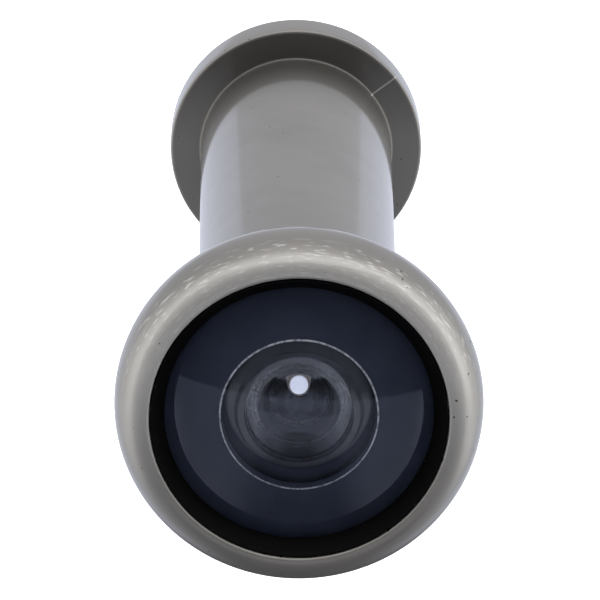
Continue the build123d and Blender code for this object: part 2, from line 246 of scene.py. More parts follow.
@dataclass(frozen=True)
class SatinNickel(Finish):
    """Zinc die casting, plated in satin nickel and clear-lacquered.

    The plating gives broad soft highlights in a warm grey, and the lacquer over it mirrors
    what is near at a shallow angle. Dust nibs and pinholes sit in the lacquer, and it is
    chipped here and there along the sharp edge of the lip. Light and shade are also painted
    into the colour: a painted highlight on the upper slope inside the bezel, short painted
    glints that stand for strip lamps mirrored round the upper bezel and on the die line, and
    painted shade in the upper corner between sleeve and flange. Each mark comes up between two
    places or two heights, and between two edges of its noise. Its shares say how strong it is
    at both.
    """

    name: str = "satin_nickel_lacquered"
    light_tone: str = "#84817D"
    dark_tone: str = "#7D7B77"
    chip_tone: str = "#0E0D0C"
    # tone of the painted highlight on the upper slope inside the bezel
    painted_highlight_tone: str = "#BAB8B5"
    # bright tone of the painted glints of strip lamps, also used for the die line's painted highlight
    painted_glint_tone: str = "#E2E1DE"
    # tone of the painted shade in the upper corner between sleeve and flange
    painted_shade_tone: str = "#35322F"
    metal: float = 0.5
    roughness: Pair = (0.52, 0.56)
    lacquer_roughness: float = 0.1
    lacquer_ior: float = 1.5
    tone_patch_mm: float = 9.0
    tone_edges: Pair = (0.35, 0.65)
    satin_edges: Pair = (0.3, 0.7)
    peel_mm: float = 1.4
    peel_height_mm: float = 0.0012
    peel_strength: float = 0.5
    pinhole_mm: float = 0.42
    pinhole_edges: Pair = (0.775, 0.8)
    lip_radius_mm: float = 10.2
    chip_reach_mm: float = 0.3
    chip_mm: float = 0.5
    chip_shares: Pair = (0.1, -0.4)
    chip_edges: Pair = (0.74, 0.78)
    chip_back_mm: Pair = (-5.2, -4.6)
    # where the painted highlight lies, by place along the axis and by height
    painted_highlight_front_mm: Pair = (-5.0, -5.7)
    painted_highlight_height_mm: Pair = (-7.0, 6.0)
    painted_highlight_shares: Pair = (0.05, 0.9)
    # size, noise and place of the painted glints of the strip lamps
    painted_glint_mm: Pair = (0.8, 0.11)
    painted_glint_edges: Pair = (0.54, 0.72)
    painted_glint_shares: Pair = (0.0, 0.42)
    painted_glint_front_mm: Pair = (-3.9, -4.6)
    painted_glint_height_mm: Pair = (1.0, 7.0)
    # where the painted shade lies: near the flange, on the upper side, inside the flange's rim
    painted_shade_back_mm: Pair = (40.0, 47.0)
    painted_shade_height_mm: Pair = (-1.0, 7.5)
    painted_shade_radius_mm: Pair = (9.2, 8.9)
    painted_shade_shares: Pair = (0.0, 0.8)
    seam_turn: float = 0.92
    seam_mm: float = 0.07
    seam_front_mm: Pair = (47.5, 47.7)
    seam_back_mm: Pair = (48.3, 48.1)
    seam_shares: Pair = (0.0, 0.5)

    def dress(self, tree: Tree, shader: Node) -> None:
        """Sets up the plating, the lacquer, the marks in both, and the painted highlight, glints and
        shade.

        Args:
            tree: The material's node tree.
            shader: Its Principled shader.
        """
        patches = add(tree, Step.FADE, self.grain(tree, self.tone_patch_mm), *self.tone_edges)
        tone = add(tree, Step.BLEND, patches, linear(self.light_tone), linear(self.dark_tone))
        # die line: a real raised line, also painted with a highlight in the glint tone
        seam = self.seam(tree)
        for mask, marked in (
            # painted highlight: the upper inner slope is lighter where the light from above falls
            (self.painted_highlight(tree), self.painted_highlight_tone),
            # painted shade darkening the upper corner between sleeve and flange
            (self.painted_shade(tree), self.painted_shade_tone),
            # painted glints of strip lamps, and the die line's painted highlight, in one bright tone
            (add(tree, Step.HIGHER, self.painted_glints(tree), seam), self.painted_glint_tone),
        ):
            tone = add(tree, Step.BLEND, mask, tone, linear(marked))
        pits = add(tree, Step.FADE, self.grain(tree, self.pinhole_mm, 1.0), *self.pinhole_edges)
        bare = add(tree, Step.HIGHER, pits, self.chips(tree))
        satin = self.grain(tree, self.tone_patch_mm / 4)
        height = add(tree, Step.MINUS, self.grain(tree, self.peel_mm, 1.0), bare)
        height = add(tree, Step.PLUS, height, seam)
        bump = add(tree, Step.BUMP, self.peel_strength, self.peel_height_mm * MM, height)
        self.wear(
            tree,
            shader,
            Base_Color=add(tree, Step.BLEND, bare, tone, linear(self.chip_tone)),
            Roughness=add(tree, Step.FADE, satin, *self.satin_edges, *self.roughness),
            Metallic=add(tree, Step.FADE, bare, 0.0, 1.0, self.metal, 0.0),
            Coat_Weight=add(tree, Step.FADE, bare, 0.0, 1.0, 1.0, 0.0),
            Coat_Roughness=self.lacquer_roughness,
            Coat_IOR=self.lacquer_ior,
            Normal=bump,
            Coat_Normal=bump,
        )

    def painted_highlight(self, tree: Tree) -> Socket:
        """Mask of the painted highlight: a lighter band on the upper slope inside the bezel, where the
        light from above falls.
        """
        upper = add(tree, Step.FADE, self.height(tree), *self.painted_highlight_height_mm, *self.painted_highlight_shares)
        return overlap(tree, add(tree, Step.FADE, self.along(tree), *self.painted_highlight_front_mm), upper)

    def painted_glints(self, tree: Tree) -> Socket:
        """Mask of the short painted glints round the upper bezel, which stand for strip lamps mirrored
        in the lacquer.

        Args:
            tree: The node tree.

        Returns:
            The output socket.
        """
        length, width = self.painted_glint_mm
        around = add(tree, Step.TIMES, self.turn(tree), self.lip_radius_mm / length)
        across = add(tree, Step.TIMES, self.radius(tree), 1.0 / width)
        noise = add(tree, Step.NOISE, add(tree, Step.JOIN, around, across), 1.0, 1.0)
        return overlap(
            tree,
            add(tree, Step.FADE, noise, *self.painted_glint_edges, *self.painted_glint_shares),
            add(tree, Step.FADE, self.height(tree), *self.painted_glint_height_mm),
            add(tree, Step.FADE, self.along(tree), *self.painted_glint_front_mm),
        )

    def painted_shade(self, tree: Tree) -> Socket:
        """Mask of the painted shade in the upper corner between sleeve and flange.

        Args:
            tree: The node tree.

        Returns:
            The output socket.
        """
        return overlap(
            tree,
            add(tree, Step.FADE, self.along(tree), *self.painted_shade_back_mm, *self.painted_shade_shares),
            add(tree, Step.FADE, self.height(tree), *self.painted_shade_height_mm),
            add(tree, Step.FADE, self.radius(tree), *self.painted_shade_radius_mm),
        )

    def seam(self, tree: Tree) -> Socket:
        """Mask of the fine raised line that the die left across the flange; the bump raises it, and its
        colour is a painted highlight in the glint tone.

        Args:
            tree: The node tree.

        Returns:
            The output socket.
        """
        off = add(tree, Step.UNSIGNED, add(tree, Step.MINUS, self.turn(tree), self.seam_turn))
        off_mm = add(tree, Step.TIMES, off, self.radius(tree))
        return overlap(
            tree,
            add(tree, Step.FADE, off_mm, self.seam_mm, self.seam_mm / 2),
            add(tree, Step.FADE, self.along(tree), *self.seam_front_mm, *self.seam_shares),
            add(tree, Step.FADE, self.along(tree), *self.seam_back_mm),
        )

    def chips(self, tree: Tree) -> Socket:
        """Mask of the small chips in the lacquer along the lip's inner edge.

        Args:
            tree: The node tree.

        Returns:
            The output socket.
        """
        edge = (self.lip_radius_mm, self.lip_radius_mm + self.chip_reach_mm)
        near = add(tree, Step.FADE, self.radius(tree), *edge, *self.chip_shares)
        lifted = add(tree, Step.PLUS, self.grain(tree, self.chip_mm), near)
        behind = add(tree, Step.FADE, self.along(tree), *self.chip_back_mm)
        return add(tree, Step.FADE, add(tree, Step.MINUS, lifted, behind), *self.chip_edges)


@dataclass(frozen=True)
class PolishedGlass(Finish):
    """Crown glass, ground and polished: clear, with a faint blue sheen from its coating."""

    name: str = "polished_crown_glass"
    ior: float = 1.52
    tone: str = "#F6F8FB"
    sheen_tone: str = "#C6CEE6"

    def dress(self, tree: Tree, shader: Node) -> None:
        """Sets up clear glass."""
        self.wear(tree, shader, Transmission_Weight=1.0, Roughness=0.0, IOR=self.ior)
        self.wear(tree, shader, Base_Color=linear(self.tone), Specular_Tint=linear(self.sheen_tone))


@dataclass(frozen=True)
class MottledFinish(Finish):
    """A finish in soft patches of two tones, each with its own gloss.

    A turned piece also has lathe lines, given by their spacing and by how the light shows them,
    which is a strength and a depth in metres.
    """

    tone: str = "#808080"
    patch_tone: str = "#707070"
    patch_mm: float = 1.0
    detail: float = 3.0
    edges: Pair = (0.35, 0.7)
    roughness: Pair = (0.4, 0.6)
    lathe_mm: float = 0.0
    lathe_bump: Pair = (0.3, 0.003 * MM)
    plain: Plain = ()

    def dress(self, tree: Tree, shader: Node) -> None:
        """Sets up the patches, and the lathe lines where there are any.

        Args:
            tree: The material's node tree.
            shader: Its Principled shader.
        """
        grain = self.grain(tree, self.patch_mm, self.detail)
        patches = add(tree, Step.FADE, grain, *self.edges)
        colour = add(tree, Step.BLEND, patches, linear(self.tone), linear(self.patch_tone))
        rough = add(tree, Step.FADE, patches, 0.0, 1.0, *self.roughness)
        self.wear(tree, shader, Base_Color=colour, Roughness=rough, **dict(self.plain))
        if self.lathe_mm:
            turns = add(tree, Step.TIMES, self.radius(tree), FULL_TURN / self.lathe_mm)
            bump = add(tree, Step.BUMP, *self.lathe_bump, add(tree, Step.SINE, turns))
            self.wear(tree, shader, Normal=bump)


@dataclass(frozen=True)
class BareBore(MottledFinish):
    """Unplated inside of a cast bore: dull brown-grey, as the lacquer never reached it."""

    name: str = "dull_cast_bore"
    tone: str = "#5E4F46"
    patch_tone: str = "#483C35"
    patch_mm: float = 1.5
    roughness: Pair = (0.75, 0.9)
    plain: Plain = (("Specular_IOR_Level", 0.2),)


@dataclass(frozen=True)
class BrightNickel(MottledFinish):
    """Turned brass ring in bright nickel: pale, with fine lathe lines under the plating."""

    name: str = "bright_nickel_turned"
    tone: str = "#D6D2CA"
    patch_tone: str = "#BDB8AE"
    roughness: Pair = (0.25, 0.35)
    lathe_mm: float = 0.1
    plain: Plain = (("Metallic", 1.0),)


@dataclass(frozen=True)
class TurnedBrass(BrightNickel):
    """Free-cutting brass, turned and left bare: yellow metal with fine lathe lines."""

    name: str = "turned_brass"
    tone: str = "#C6A15B"
    patch_tone: str = "#8A6A3A"
    roughness: Pair = (0.25, 0.4)
    lathe_bump: Pair = (0.4, 0.004 * MM)


@dataclass(frozen=True)
class BlackPaint(MottledFinish):
    """Steel ring under black paint, sprayed thin: half matt, with specks of dust on it."""

    name: str = "black_painted_ring"
    tone: str = "#060607"
    patch_tone: str = "#404041"
    patch_mm: float = 0.3
    detail: float = 1.0
    edges: Pair = (0.77, 0.8)
    roughness: Pair = (0.55, 0.6)
    lathe_mm: float = 0.12
    plain: Plain = (("Specular_IOR_Level", 0.06),)


@dataclass(frozen=True)
class GroundGlass(MottledFinish):
    """Glass left as the grinding wheel leaves it: a pale frosted edge with small chips."""

    name: str = "ground_glass_edge"
    tone: str = "#E4E8F4"
    patch_tone: str = "#9EA3B2"
    patch_mm: float = 0.25
    edges: Pair = (0.45, 0.62)
    roughness: Pair = (0.5, 0.8)


@dataclass(frozen=True)
class BevelledGlass(GroundGlass):
    """Fine ground bevel, seen through its lens: total internal reflection makes it a mirror."""

    name: str = "bevelled_glass_edge"
    roughness: Pair = (0.245, 0.545)
    plain: Plain = (("Metallic", 0.85),)


@dataclass(frozen=True)
class LensLacquer(MottledFinish):
    """Black lacquer brushed on the back and edge of a lens, painted navy: a painted reflection of the
    bluish sheen that the glass shows over it.
    """

    name: str = "black_lens_lacquer"
    # navy tone painted in as the bluish reflection over the black lacquer, which is not the lacquer's
    # own colour
    tone: str = "#41485C"
    patch_tone: str = "#464D61"
    patch_mm: float = 3.0
    detail: float = 2.0
    edges: Pair = (0.3, 0.7)
    roughness: Pair = (0.88, 0.92)
    plain: Plain = (("Specular_IOR_Level", 0.0),)


@dataclass(frozen=True)
class EdgeLacquer(MottledFinish):
    """Glossy black lacquer on the edge of a small lens, thick enough to mirror a lamp."""

    name: str = "black_edge_lacquer"
    tone: str = "#0C0D11"
    patch_tone: str = "#16181F"
    detail: float = 2.0
    edges: Pair = (0.4, 0.7)
    roughness: Pair = (0.12, 0.2)


@dataclass(frozen=True)
class MouldedPlastic(MottledFinish):
    """Black ABS, injection moulded: an even gloss with a faint flow pattern."""

    name: str = "moulded_black_abs"
    tone: str = "#4B4E58"
    patch_tone: str = "#555863"
    patch_mm: float = 2.0
    detail: float = 2.0
    edges: Pair = (0.3, 0.7)
    roughness: Pair = (0.08, 0.14)
    plain: Plain = (("IOR", 1.53), ("Specular_IOR_Level", 0.7))


@dataclass(frozen=True)
class NitrileRubber(MottledFinish):
    """Nitrile rubber, compression moulded: dull black with a grey bloom."""

    name: str = "nitrile_rubber"
    tone: str = "#121212"
    patch_tone: str = "#2A2A2B"
    patch_mm: float = 1.2
    edges: Pair = (0.4, 0.75)
    roughness: Pair = (0.65, 0.85)
    plain: Plain = (("IOR", 1.52),)


@dataclass(frozen=True)
class PaleSilicone(NitrileRubber):
    """Silicone rubber, moulded and left natural: milky white, slightly yellowed."""

    name: str = "pale_silicone"
    tone: str = "#DCD9D0"
    patch_tone: str = "#C9C5B8"


@dataclass(frozen=True)
class PaperSweep(MottledFinish):
    """White background paper, evenly lit, a little textured."""

    name: str = "background_paper"
    tone: str = "#FFFFFF"
    patch_tone: str = "#FBFBFC"
    patch_mm: float = 4.0
    detail: float = 2.0
    edges: Pair = (0.3, 0.7)
    roughness: Pair = (0.78, 0.82)
    plain: Plain = (
        ("Emission_Color", linear("#FFFFFF")),
        ("Emission_Strength", 0.9),
    )


@dataclass(frozen=True)
class Extent:
    """Where a node of the frame lies, in millimetres."""

    front: float
    back: float
    radius: float

    @classmethod
    def of(cls, node: str) -> "Extent":
        """Reads a node's extent from the frame."""
        low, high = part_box(node)
        return cls(low.y / MM, high.y / MM, high.x / MM)


def sag(face_radius: float, radius: float) -> float:
    """Depth of a spherical face from its vertex at a radius, positive towards the room."""
    return face_radius - math.copysign(math.sqrt(face_radius**2 - radius**2), face_radius)


class Section:
    """Half of a turned piece's section in millimetres: x is the radius and y lies along the axis."""

    def __init__(self, radius: float, y: float) -> None:
        """Starts the outline at a point.

        Args:
            radius: The point's distance from the axis.
            y: The point's place along the axis.
        """
        self.mesh = bmesh.new()
        self.first = self.mesh.verts.new((radius, y, 0.0))
        self.last = self.first

    def line(self, *corners: Pair) -> "Section":
        """Draws straight lines.

        Args:
            *corners: The (radius, y) points to draw to.

        Returns:
            The section.
        """
        for radius, y in corners:
            made = bmesh.ops.extrude_vert_indiv(self.mesh, verts=[self.last])
            self.last = made["verts"][0]
            step = Vector((radius, y, 0.0)) - self.last.co
            bmesh.ops.translate(self.mesh, verts=[self.last], vec=step)
        return self

    def arc(self, centre: Pair, degrees: float, steps: int, stretch: float = 1.0) -> "Section":
        """Turns the last point about a centre.

        Args:
            centre: (radius, y) of the arc's centre.
            degrees: Angle, counter-clockwise from the radius axis towards +Y.
            steps: Straight pieces that stand for the arc.
            stretch: How much longer the arc's height is than its width, for an ellipse.

        Returns:
            The section.
        """
        pin = Vector((*centre, 0.0))
        about = Matrix.Translation(-pin)
        bmesh.ops.scale(self.mesh, verts=[self.last], vec=(1.0, 1.0 / stretch, 1.0), space=about)
        made = bmesh.ops.spin(
            self.mesh,
            geom=[self.last],
            cent=pin,
            axis=(0.0, 0.0, 1.0),
            angle=math.radians(degrees),
            steps=steps,
        )
        self.mesh.verts.ensure_lookup_table()
        drawn = [self.last, *self.mesh.verts[-steps:]]
        self.last = made["geom_last"][0]
        bmesh.ops.scale(self.mesh, verts=drawn, vec=(1.0, stretch, 1.0), space=about)
        return self

    def face(
        self, vertex_y: float, face_radius: float, edge: float, steps: int = 40, outwards: bool = True
    ) -> "Section":
        """Draws a lens face between the axis and an edge radius.

        Args:
            vertex_y: Where the face crosses the axis.
            face_radius: Its radius, positive where its centre lies towards the room.
            edge: Radius at which it ends, or starts.
            steps: Straight pieces that stand for it.
            outwards: True to draw from the axis outwards, False to draw back to it.

        Returns:
            The section.
        """
        turn = math.degrees(math.asin(edge / face_radius))
        return self.arc((0.0, vertex_y + face_radius), turn if outwards else -turn, steps)

    def turned(self, segments: int = SEGMENTS, closed: bool = True) -> bmesh.types.BMesh:
        """Turns the section about the axis into a closed shell.

        Args:
            segments: Steps of the full turn.
            closed: True to join the last point to the first one. A lens, which starts and ends
                on the axis, isn't joined.

        Returns:
            The mesh, still in millimetres.
        """
        if closed:
            bmesh.ops.contextual_create(self.mesh, geom=[self.first, self.last])
        bmesh.ops.spin(
            self.mesh,
            geom=self.mesh.verts[:] + self.mesh.edges[:],
            cent=(0.0, 0.0, 0.0),
            axis=AXIS,
            angle=FULL_TURN,
            steps=segments,
            use_merge=True,
        )
        bmesh.ops.remove_doubles(self.mesh, verts=self.mesh.verts, dist=MERGE)
        bmesh.ops.recalc_face_normals(self.mesh, faces=self.mesh.faces)
        return self.mesh


@dataclass(frozen=True)
class Thread:
    """One helical ridge of a thread, in millimetres."""

    base_radius: float
    crest_radius: float
    base_width: float
    crest_width: float
    start: float
    end: float
    pitch: float = 1.0
    bite: float = 0.04
    turn_steps: int = 56

    def cut(self, mesh: bmesh.types.BMesh) -> None:
        """Adds the ridge to a mesh, its base sunk a little into the wall that carries it.

        Args:
            mesh: The mesh that the ridge is added to.
        """
        ridge = self.one_turn()
        turn = ridge.verts[:] + ridge.edges[:] + ridge.faces[:]
        for number in range(1, int((self.end - self.start) / self.pitch)):
            made = bmesh.ops.duplicate(ridge, geom=turn)
            copied = [v for v in made["geom"] if isinstance(v, bmesh.types.BMVert)]
            bmesh.ops.translate(ridge, verts=copied, vec=(0.0, number * self.pitch, 0.0))
        bmesh.ops.remove_doubles(ridge, verts=ridge.verts, dist=MERGE)
        ends = [edge for edge in ridge.edges if edge.is_boundary]
        bmesh.ops.holes_fill(ridge, edges=ends, sides=4)
        bmesh.ops.recalc_face_normals(ridge, faces=ridge.faces)
        data = bpy.data.meshes.new("ridge")
        ridge.to_mesh(data)
        ridge.free()
        mesh.from_mesh(data)
        bpy.data.meshes.remove(data)

    def one_turn(self) -> bmesh.types.BMesh:
        """Winds the ridge once about the axis.

        Returns:
            The wound ridge.
        """
        inward = math.copysign(self.bite, self.base_radius - self.crest_radius)
        base = self.base_radius + inward
        corners = [
            (base, -self.base_width / 2),
            (base, self.base_width / 2),
            (self.crest_radius, self.crest_width / 2),
            (self.crest_radius, -self.crest_width / 2),
        ]
        turn = bmesh.new()
        ring = [turn.verts.new((radius, self.start + y, 0.0)) for radius, y in corners]
        loop = [turn.edges.new((ring[i], ring[i - 1])) for i in range(len(ring))]
        bmesh.ops.spin(
            turn,
            geom=ring + loop,
            cent=(0.0, 0.0, 0.0),
            axis=-AXIS,
            dvec=(0.0, self.pitch / self.turn_steps, 0.0),
            angle=FULL_TURN,
            steps=self.turn_steps,
        )
        return turn


@dataclass
class Piece:
    """A finished mesh on its way into the scene."""

    name: str
    mesh: bmesh.types.BMesh
    finishes: list[Finish]
    slot: Slot
    body: Body
    replaces: tuple[str, ...]
    crease: float = 30.0
    choose: Callable[[Vector, Vector], int] | None = None
    cutters: list[bmesh.types.BMesh] = field(default_factory=list)
    threads: list[Thread] = field(default_factory=list)

    def paint(self) -> None:
        """Gives each face the number of its finish, by its centre and normal."""
        if self.choose is None:
            return
        for face in self.mesh.faces:
            face.material_index = self.choose(face.calc_center_median(), face.normal)

    def place(self) -> bpy.types.Object:
        """Turns the mesh into an object of the scene, parents it to its body's empty and hides the
        nodes that it replaces.

        Returns:
            The object, at the origin, its place in its mesh.
        """
        self.paint()
        made = self.to_object(self.mesh, self.name)
        for cutter in self.cutters:
            self.subtract(made, cutter)
        for thread in self.threads:
            self.wind(made, thread)
        made.data.polygons.foreach_set("use_smooth", [True] * len(made.data.polygons))
        made.data.set_sharp_from_angle(angle=math.radians(self.crease))
        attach(made, self.body.value)
        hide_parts(*self.replaces)
        log.info("%s: %d faces on %s", self.name, len(made.data.polygons), self.body.value)
        return made

    def to_object(self, mesh: bmesh.types.BMesh, name: str) -> bpy.types.Object:
        """Writes a bmesh out as an object in metres.

        Args:
            mesh: The bmesh, which is freed.
            name: The object's name.

        Returns:
            The object.
        """
        bmesh.ops.scale(mesh, verts=mesh.verts, vec=(MM, MM, MM))
        data = bpy.data.meshes.new(name)
        mesh.to_mesh(data)
        mesh.free()
        for finish in self.finishes:
            data.materials.append(finish.material())
        made = bpy.data.objects.new(name, data)
        bpy.context.scene.collection.objects.link(made)
        return made

    def subtract(self, target: bpy.types.Object, cutter: bmesh.types.BMesh) -> None:
        """Cuts a shape out of an object.

        Args:
            target: The object that is cut.
            cutter: The shape, in millimetres.
        """
        tool = self.to_object(cutter, self.name + "_cutter")
        cut = target.modifiers.new("cut", "BOOLEAN")
        cut.object = tool
        cut.operation = "DIFFERENCE"
        cut.solver = "EXACT"
        graph = bpy.context.evaluated_depsgraph_get()
        data = bpy.data.meshes.new_from_object(target.evaluated_get(graph))
        target.modifiers.clear()
        old, target.data = target.data, data
        data.name = self.name
        bpy.data.meshes.remove(old)
        bpy.data.objects.remove(tool)

    def wind(self, target: bpy.types.Object, thread: Thread) -> None:
        """Winds a thread's ridge on an object.

        Args:
            target: The object.
            thread: The thread, in millimetres.
        """
        mesh = bmesh.new()
        mesh.from_mesh(target.data)
        bmesh.ops.scale(mesh, verts=mesh.verts, vec=(1 / MM, 1 / MM, 1 / MM))
        thread.cut(mesh)
        bmesh.ops.scale(mesh, verts=mesh.verts, vec=(MM, MM, MM))
        mesh.to_mesh(target.data)
        mesh.free()


def block(centre: tuple[float, float, float], size: tuple[float, float, float]) -> bmesh.types.BMesh:
    """A box for cutting, in millimetres.

    Args:
        centre: Its centre.
        size: Its sides.

    Returns:
        The mesh.
    """
    made = bmesh.new()
    bmesh.ops.create_cube(made, size=1.0)
    bmesh.ops.scale(made, verts=made.verts, vec=size)
    bmesh.ops.translate(made, verts=made.verts, vec=centre)
    return made


def dull_bore(bore: float, end: float = math.inf) -> Callable[[Vector, Vector], int]:
    """Tells the dull wall of a cast bore from the plating on the rest.

    Args:
        bore: The bore's radius.
        end: Place along the axis up to which the wall is dull.

    Returns:
        A function that takes a face's centre and normal, and gives the number of its finish.
    """

    def choose(centre: Vector, normal: Vector) -> int:
        """Gives 1 on the dull wall and 0 elsewhere."""
        inside = math.hypot(centre.x, centre.z) < bore + FIT and abs(normal.y) < WALL_TILT
        return int(inside and centre.y < end)

    return choose


@dataclass
class Bezel:
    """Cast bezel with its collar and threaded stem."""

    lip_radius: float = 10.2
    lip_rounding: float = 0.3
    crown_depth: float = 3.1
    seat_radius: float = 11.5
    glass_seat_radius: float = 9.75
    glass_to_floor: float = 2.35
    stem_radius: float = 5.3
    thread_radius: float = 5.9
    thread_crest: float = 0.125
    thread_start: float = 1.0
    flank_degrees: float = 30.0
    bore: float = 4.5
    collar_radius: float = 5.95
    collar_length: float = 0.8
    end_chamfer: float = 0.5
    node: Extent = field(default_factory=lambda: Extent.of("front_body"))

    def build(self) -> bpy.types.Object:
        """Turns the casting from its section and winds the thread on the stem.

        Returns:
            The object.
        """
        front, end, radius = self.node.front, self.node.back, self.node.radius
        seat_front = Extent.of("lens_retaining_ring").back + FIT
        floor = Extent.of("objective_lens").back + self.glass_to_floor
        crown = front + self.crown_depth
        width = radius - self.lip_radius - self.lip_rounding
        rise = radius - self.seat_radius
        back_radius = (rise**2 + crown**2) / (2 * rise)
        back_turn = math.degrees(math.asin(-crown / back_radius))
        lip = front + self.lip_rounding
        section = Section(self.lip_radius, lip)
        section.arc((self.lip_radius + self.lip_rounding, lip), QUARTER, 10)
        section.arc((radius - width, crown), QUARTER, 40, stretch=self.crown_depth / width)
        section.arc((radius - back_radius, crown), back_turn, 24)
        section.line(
            (self.collar_radius, 0.0),
            (self.collar_radius, self.collar_length),
            (self.stem_radius, self.collar_length),
            (self.stem_radius, end - self.end_chamfer / 2),
            (self.stem_radius - self.end_chamfer / 2, end),
            (self.bore, end),
            (self.bore, floor),
            (self.glass_seat_radius, floor),
            (self.glass_seat_radius, seat_front),
            (self.lip_radius, seat_front),
        )
        flank = 2 * math.tan(math.radians(self.flank_degrees)) * (self.thread_radius - self.stem_radius)
        ridge = Thread(
            self.stem_radius,
            self.thread_radius,
            self.thread_crest + flank,
            self.thread_crest,
            self.thread_start,
            end - self.end_chamfer,
        )
        return Piece(
            "front_body_casting",
            section.turned(FINE_SEGMENTS),
            [SatinNickel(), BareBore()],
            Slot.CASTING,
            Body.FRONT,
            ("front_body",),
            choose=dull_bore(self.bore),
            threads=[ridge],
        ).place()


@dataclass
class LensRing:
    """Black retaining ring with its inner cone, just inside the lip."""

    land: float = 0.1
    cone_depth: float = 1.1
    inner_radius: float = 9.2
    skirt_radius: float = 9.75
    node: Extent = field(default_factory=lambda: Extent.of("lens_retaining_ring"))

    def build(self) -> bpy.types.Object:
        """Turns the ring.

        Returns:
            The object.
        """
        front, back, radius = self.node.front, self.node.back, self.node.radius
        glass = Extent.of("objective_lens").front
        skirt = glass + sag(ObjectiveLens.front_radius, self.skirt_radius) - FIT
        section = Section(radius, front).line(
            (radius - self.land, front),
            (self.inner_radius, front + self.cone_depth),
            (self.inner_radius, front + self.cone_depth + self.land),
            (self.skirt_radius, skirt),
            (self.skirt_radius, back),
            (radius, back),
        )
        return Piece(
            "lens_ring_black",
            section.turned(FINE_SEGMENTS),
            [BlackPaint()],
            Slot.BLACK_RING,
            Body.FRONT,
            ("lens_retaining_ring",),
        ).place()


@dataclass
class ObjectiveLens:
    """Large front lens: its back and edge are lacquered black round the clear hollow."""

    front_radius: float = 16.4
    rear_radius: float = 6.56
    thickness: float = 0.95
    clear_radius: float = 5.1
    ground_width: float = 0.11
    bevel: float = 0.15
    node: Extent = field(default_factory=lambda: Extent.of("objective_lens"))

    def build(self) -> bpy.types.Object:
        """Turns the lens and paints its faces.

        Returns:
            The object.
        """
        front, back, edge = self.node.front, self.node.back, self.node.radius
        face_edge = edge - self.bevel
        hollow = self.clear_radius - self.ground_width / 2
        ground = self.clear_radius + self.ground_width / 2
        rear = front + self.thickness
        section = Section(0.0, front).face(front, self.front_radius, face_edge, 64)
        section.line(
            (edge, front + sag(self.front_radius, face_edge) + self.bevel),
            (edge, back),
            (ground, back),
            (hollow, rear + sag(self.rear_radius, hollow)),
        )
        section.face(rear, self.rear_radius, hollow, 64, outwards=False)

        def region(centre: Vector, normal: Vector) -> int:
            """Picks glass, ground edge or lacquer for a face.

            Args:
                centre: The face's centre.
                normal: The face's normal.

            Returns:
                The index of its finish.
            """
            radius = math.hypot(centre.x, centre.z)
            if radius < hollow or radius < face_edge and normal.y < 0:
                return 0
            return 1 if radius <= ground else 2

        return Piece(
            "objective_lens_ground",
            section.turned(FINE_SEGMENTS, closed=False),
            [PolishedGlass(), GroundGlass(), LensLacquer()],
            Slot.GLASS,
            Body.FRONT,
            ("objective_lens",),
            choose=region,
        ).place()


@dataclass
class SmallLens:
    """One of the two inner lenses, each hollow in front."""

    name: str
    node_name: str
    front_radius: float
    rear_radius: float
    thickness: float
    clear_radius: float = 3.8
    ground_width: float = 0.18

    def build(self) -> bpy.types.Object:
        """Turns the lens, with a ground rim.

        Returns:
            The object.
        """
        node = Extent.of(self.node_name)
        front = node.front - sag(self.front_radius, self.clear_radius)
        rear = front + self.thickness
        rear_rim = rear + sag(self.rear_radius, self.clear_radius)
        ground = self.clear_radius + self.ground_width
        section = Section(0.0, front).face(front, self.front_radius, self.clear_radius, 48)
        section.line(
            (ground, node.front),
            (node.radius, node.front),
            (node.radius, rear_rim),
            (ground, rear_rim),
            (self.clear_radius, rear_rim),
        )
        section.face(rear, self.rear_radius, self.clear_radius, 48, outwards=False)

        def region(centre: Vector, normal: Vector) -> int:
            """Picks glass, the thin ground ring round it or the lacquered edge for a face."""
            radius = math.hypot(centre.x, centre.z)
            return sum(radius >= limit for limit in (self.clear_radius, ground))

        return Piece(
            self.name,
            section.turned(SEGMENTS, closed=False),
            [PolishedGlass(), BevelledGlass(), EdgeLacquer()],
            Slot.GLASS,
            Body.FRONT,
            (self.node_name,),
            choose=region,
        ).place()


@dataclass
class PlainRing:
    """Ring without a step or a chamfer."""

    name: str
    node_name: str
    bore: float
    radius: float
    finish: Finish
    slot: Slot

    def build(self) -> bpy.types.Object:
        """Turns the ring.

        Returns:
            The object.
        """
        node = Extent.of(self.node_name)
        section = Section(self.bore, node.front).line(
            (self.radius, node.front), (self.radius, node.back), (self.bore, node.back)
        )
        return Piece(
            self.name, section.turned(), [self.finish], self.slot, Body.FRONT, (self.node_name,)
        ).place()


